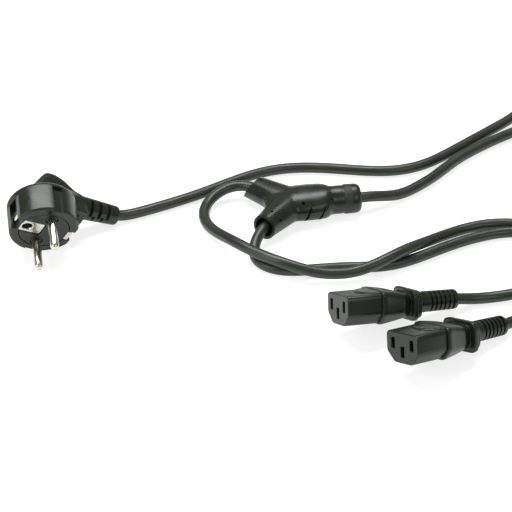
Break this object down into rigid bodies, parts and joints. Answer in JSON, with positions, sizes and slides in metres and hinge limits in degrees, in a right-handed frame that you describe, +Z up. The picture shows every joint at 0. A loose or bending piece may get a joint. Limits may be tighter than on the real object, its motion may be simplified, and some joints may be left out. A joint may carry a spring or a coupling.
{
  "type": "power cord splitter",
  "caption": "Y-shaped power cord splitter: an angled earthed plug feeds one moulded joint, whose branch cords each end in a cable socket for appliances.",
  "frame": {"origin": "on the surface that everything lies on, under the middle of the Y joint's box", "axes": "+X along the Y joint's stem towards the feed cord, +Z up, +Y to the side of branch cord a"},
  "size_m": [0.4009, 0.3035, 0.0406],
  "materials": {
    "black_plastic": "satin moulded PVC, dark greenish black",
    "cord_jacket": "satin PVC jacket, dark",
    "hard_plastic": "hard moulded plastic, dark greenish black",
    "nickel": "bright nickel plate",
    "brass": "bright drawn brass"
  },
  "bodies": {
    "root": {"y_moulding": "black_plastic", "y_splice_line": "brass", "y_splice_neutral": "brass", "y_splice_earth": "brass", "plug_body": "black_plastic", "plug_bridge": "hard_plastic", "plug_pin_line": "nickel", "plug_pin_neutral": "nickel", "plug_core_line": "brass", "plug_core_neutral": "brass", "plug_core_earth": "brass", "plug_earth_contact": "nickel", "socket_b_body": "black_plastic", "socket_b_carrier": "hard_plastic", "socket_b_contact_line": "brass", "socket_b_contact_neutral": "brass", "socket_b_contact_earth": "brass", "socket_a_body": "black_plastic", "socket_a_carrier": "hard_plastic", "socket_a_contact_line": "brass", "socket_a_contact_neutral": "brass", "socket_a_contact_earth": "brass", "feed_cord_y_side": "cord_jacket", "feed_cord_plug_side": "cord_jacket", "branch_cord_a_y_side": "cord_jacket", "branch_cord_b_y_side": "cord_jacket", "branch_cord_a_socket_side": "cord_jacket", "branch_cord_b_socket_side": "cord_jacket", "feed_cord_coil": "cord_jacket", "feed_cord_tie": "black_plastic", "branch_cord_a_coil": "cord_jacket", "branch_cord_b_coil": "cord_jacket", "branch_cord_tie": "black_plastic"}
  },
  "joints": []
}
